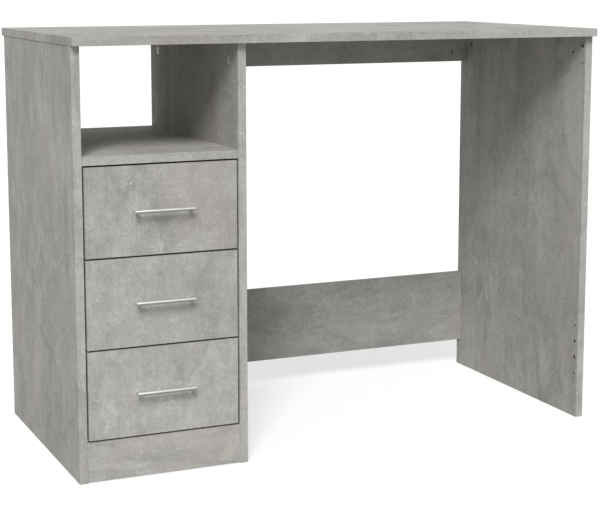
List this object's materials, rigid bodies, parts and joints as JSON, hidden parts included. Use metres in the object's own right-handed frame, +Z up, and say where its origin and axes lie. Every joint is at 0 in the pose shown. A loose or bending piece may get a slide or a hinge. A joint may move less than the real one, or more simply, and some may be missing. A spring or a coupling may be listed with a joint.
{
  "type": "writing desk with drawers",
  "caption": "Flat-pack writing desk: slab on upright panels, a pedestal with an open compartment over inset drawers on roller runners, an open knee space and two back rails.",
  "frame": {"origin": "on the floor under the middle of the outer box, handles included", "axes": "+X along the desk from the drawer pedestal to the knee space, -Y towards the person sitting at it, +Z up"},
  "size_m": [1.02, 0.5055, 0.76],
  "materials": {
    "concrete_decor_board": "15 mm particleboard faced and edged with matt concrete-look melamine, light warm grey, mottled",
    "hardboard": "3 mm hardboard, grey-lacquered face",
    "handle_aluminium": "satin silver round rod",
    "cam_zinc": "die-cast zinc cam locks, nickel plated",
    "fitting_steel": "zinc-plated steel",
    "runner_steel": "white powder-coated rolled steel",
    "roller_plastic": "white moulded nylon",
    "dowel_beech": "plain beech"
  },
  "bodies": {
    "desk": {"desk_top": "concrete_decor_board", "left_side_panel": "concrete_decor_board", "middle_panel": "concrete_decor_board", "right_side_panel": "concrete_decor_board", "compartment_shelf": "concrete_decor_board", "plinth": "concrete_decor_board", "pedestal_rail": "concrete_decor_board", "upper_back_rail": "concrete_decor_board", "lower_back_rail": "concrete_decor_board", "pedestal_back": "hardboard", "cabinet_runner_1_left": "runner_steel", "cabinet_runner_1_right": "runner_steel", "cabinet_runner_2_left": "runner_steel", "cabinet_runner_2_right": "runner_steel", "cabinet_runner_3_left": "runner_steel", "cabinet_runner_3_right": "runner_steel", "cam_locks": "cam_zinc", "cam_bolts": "fitting_steel", "wood_dowels": "dowel_beech", "runner_screws": "fitting_steel", "back_nails": "fitting_steel"},
    "drawer_1": {"drawer_1_front": "concrete_decor_board", "drawer_1_left_side": "concrete_decor_board", "drawer_1_right_side": "concrete_decor_board", "drawer_1_back": "concrete_decor_board", "drawer_1_bottom": "hardboard", "drawer_1_handle": "handle_aluminium", "drawer_1_runner_left": "runner_steel", "drawer_1_runner_right": "runner_steel", "drawer_1_cam_fittings": "cam_zinc", "drawer_1_screws": "fitting_steel"},
    "drawer_1_front_rollers": {"drawer_1_front_rollers": "roller_plastic"},
    "drawer_1_rear_rollers": {"drawer_1_rear_rollers": "roller_plastic"},
    "drawer_2": {"drawer_2_front": "concrete_decor_board", "drawer_2_left_side": "concrete_decor_board", "drawer_2_right_side": "concrete_decor_board", "drawer_2_back": "concrete_decor_board", "drawer_2_bottom": "hardboard", "drawer_2_handle": "handle_aluminium", "drawer_2_runner_left": "runner_steel", "drawer_2_runner_right": "runner_steel", "drawer_2_cam_fittings": "cam_zinc", "drawer_2_screws": "fitting_steel"},
    "drawer_2_front_rollers": {"drawer_2_front_rollers": "roller_plastic"},
    "drawer_2_rear_rollers": {"drawer_2_rear_rollers": "roller_plastic"},
    "drawer_3": {"drawer_3_front": "concrete_decor_board", "drawer_3_left_side": "concrete_decor_board", "drawer_3_right_side": "concrete_decor_board", "drawer_3_back": "concrete_decor_board", "drawer_3_bottom": "hardboard", "drawer_3_handle": "handle_aluminium", "drawer_3_runner_left": "runner_steel", "drawer_3_runner_right": "runner_steel", "drawer_3_cam_fittings": "cam_zinc", "drawer_3_screws": "fitting_steel"},
    "drawer_3_front_rollers": {"drawer_3_front_rollers": "roller_plastic"},
    "drawer_3_rear_rollers": {"drawer_3_rear_rollers": "roller_plastic"}
  },
  "joints": [
    {"name": "drawer_1_slide", "type": "slide", "parent": "desk", "child": "drawer_1", "axis": [0, -1, 0], "range_m": [0, 0.3]},
    {"name": "drawer_1_front_roller_spin", "type": "hinge", "parent": "desk", "child": "drawer_1_front_rollers", "pos_m": [-0.3545, -0.20425, 0.0995], "axis": [1, 0, 0], "continuous": true},
    {"name": "drawer_1_rear_roller_spin", "type": "hinge", "parent": "drawer_1", "child": "drawer_1_rear_rollers", "pos_m": [-0.3545, 0.16975, 0.0995], "axis": [1, 0, 0], "continuous": true},
    {"name": "drawer_2_slide", "type": "slide", "parent": "desk", "child": "drawer_2", "axis": [0, -1, 0], "range_m": [0, 0.3]},
    {"name": "drawer_2_front_roller_spin", "type": "hinge", "parent": "desk", "child": "drawer_2_front_rollers", "pos_m": [-0.3545, -0.20425, 0.257], "axis": [1, 0, 0], "continuous": true},
    {"name": "drawer_2_rear_roller_spin", "type": "hinge", "parent": "drawer_2", "child": "drawer_2_rear_rollers", "pos_m": [-0.3545, 0.16975, 0.257], "axis": [1, 0, 0], "continuous": true},
    {"name": "drawer_3_slide", "type": "slide", "parent": "desk", "child": "drawer_3", "axis": [0, -1, 0], "range_m": [0, 0.3]},
    {"name": "drawer_3_front_roller_spin", "type": "hinge", "parent": "desk", "child": "drawer_3_front_rollers", "pos_m": [-0.3545, -0.20425, 0.4145], "axis": [1, 0, 0], "continuous": true},
    {"name": "drawer_3_rear_roller_spin", "type": "hinge", "parent": "drawer_3", "child": "drawer_3_rear_rollers", "pos_m": [-0.3545, 0.16975, 0.4145], "axis": [1, 0, 0], "continuous": true}
  ],
  "couplings": [
    {"joint": "drawer_1_front_roller_spin", "follows": "drawer_1_slide", "rad_per_m": 111.11},
    {"joint": "drawer_1_rear_roller_spin", "follows": "drawer_1_slide", "rad_per_m": 111.11},
    {"joint": "drawer_2_front_roller_spin", "follows": "drawer_2_slide", "rad_per_m": 111.11},
    {"joint": "drawer_2_rear_roller_spin", "follows": "drawer_2_slide", "rad_per_m": 111.11},
    {"joint": "drawer_3_front_roller_spin", "follows": "drawer_3_slide", "rad_per_m": 111.11},
    {"joint": "drawer_3_rear_roller_spin", "follows": "drawer_3_slide", "rad_per_m": 111.11}
  ]
}
